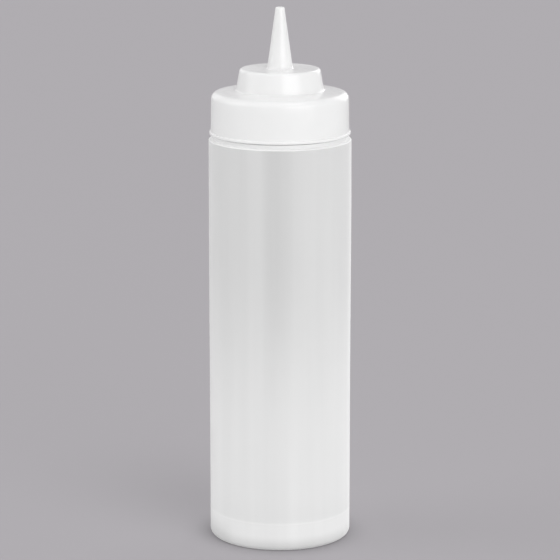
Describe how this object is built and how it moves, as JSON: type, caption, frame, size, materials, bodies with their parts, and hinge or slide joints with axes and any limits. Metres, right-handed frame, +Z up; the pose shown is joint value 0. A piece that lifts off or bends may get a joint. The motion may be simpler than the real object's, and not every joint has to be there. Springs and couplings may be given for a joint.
{
  "type": "squeeze bottle",
  "caption": "Empty translucent squeeze bottle with a straight round body, a wide threaded mouth and a white screw cap with a tapered open nozzle.",
  "frame": {"origin": "centre of the base, on the plane of the standing ring", "axes": "+Z up the bottle's axis towards the nozzle tip"},
  "size_m": [0.07, 0.07, 0.2652],
  "materials": {
    "bottle_plastic": "translucent frosted natural polyethylene, satin",
    "cap_plastic": "white polyethylene, satin"
  },
  "bodies": {
    "root": {"bottle": "bottle_plastic", "cap": "cap_plastic"}
  },
  "joints": []
}
